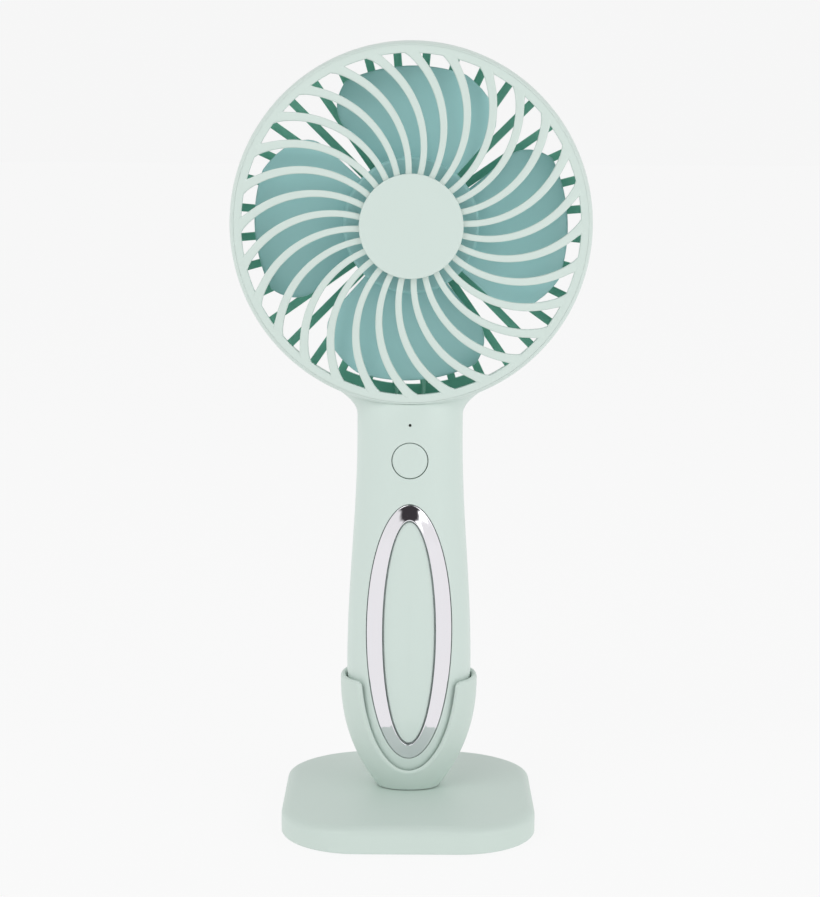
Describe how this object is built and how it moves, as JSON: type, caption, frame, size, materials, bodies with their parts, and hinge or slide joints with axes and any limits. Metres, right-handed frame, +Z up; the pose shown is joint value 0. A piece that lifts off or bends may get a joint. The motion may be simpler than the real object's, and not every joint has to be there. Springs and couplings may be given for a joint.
{
  "type": "handheld electric fan",
  "caption": "Round-headed rechargeable hand fan with a slim handle, standing in a cup on a rounded square desk base.",
  "frame": {"origin": "on the table, under the middle of the stand", "axes": "+Z up along the handle, -Y the way the air blows, +X to the right seen from the front"},
  "size_m": [0.1008, 0.076, 0.2216],
  "materials": {
    "stand_plastic": "satin moulded plastic",
    "shell_plastic": "satin moulded plastic",
    "base_plate_plastic": "matt moulded plastic",
    "impeller_plastic": "satin moulded plastic",
    "bright_trim": "mirror plating",
    "foot_rubber": "matt",
    "screw_steel": "zinc plated",
    "weight_iron": "machined",
    "cell_wrap": "shrink sleeve",
    "tab_nickel": "nickel strip",
    "lead_red": "soft insulation",
    "lead_black": "soft insulation",
    "lead_pale": "soft insulation",
    "board_laminate": "solder resist",
    "bright_steel": "plated",
    "bush_brass": "sintered",
    "magnet_ferrite": "ground ferrite",
    "brush_carbon": "carbon",
    "cap_plastic": "moulded nylon",
    "winding_copper": "enamelled copper",
    "light_clear": "clear light pipe"
  },
  "bodies": {
    "stand": {"base_cover": "stand_plastic", "base_plate": "base_plate_plastic", "base_screw_1": "screw_steel", "base_screw_2": "screw_steel", "base_screw_3": "screw_steel", "base_screw_4": "screw_steel", "base_weight": "weight_iron", "cradle": "stand_plastic", "cradle_screw": "screw_steel", "foot_pad_1": "foot_rubber", "foot_pad_2": "foot_rubber", "foot_pad_3": "foot_rubber", "foot_pad_4": "foot_rubber"},
    "fan": {"battery_cell": "cell_wrap", "battery_lead_minus": "lead_black", "battery_lead_plus": "lead_red", "battery_tab_minus": "tab_nickel", "battery_tab_plus": "tab_nickel", "charging_board": "board_laminate", "charging_socket": "bright_steel", "circuit_board": "board_laminate", "front_grille": "shell_plastic", "front_shell": "shell_plastic", "grip_panel": "shell_plastic", "hub_plate": "shell_plastic", "light_pipe": "light_clear", "motor_brush_1": "brush_carbon", "motor_brush_2": "brush_carbon", "motor_bush_front": "bush_brass", "motor_bush_rear": "bush_brass", "motor_can": "bright_steel", "motor_end_cap": "cap_plastic", "motor_lead_minus": "lead_pale", "motor_lead_plus": "lead_pale", "motor_magnet_1": "magnet_ferrite", "motor_magnet_2": "magnet_ferrite", "rear_shell": "shell_plastic", "shell_screw_1": "screw_steel", "shell_screw_2": "screw_steel", "shell_screw_3": "screw_steel", "status_light": "light_clear", "tact_switch": "bright_steel", "trim_ring": "bright_trim"},
    "impeller": {"impeller": "impeller_plastic", "motor_shaft": "bright_steel", "motor_armature": "winding_copper", "motor_commutator": "winding_copper"},
    "button": {"power_button": "shell_plastic"}
  },
  "joints": [
    {"name": "fan_lift", "type": "slide", "parent": "stand", "child": "fan", "axis": [0, 0, 1], "range_m": [0, 0.04]},
    {"name": "impeller_spin", "type": "hinge", "parent": "fan", "child": "impeller", "pos_m": [0, 0, 0.1712], "axis": [0, -1, 0], "continuous": true},
    {"name": "power_press", "type": "slide", "parent": "fan", "child": "button", "axis": [0, 1, 0], "range_m": [0, 0.0005], "stiffness_N_per_m": 400}
  ]
}
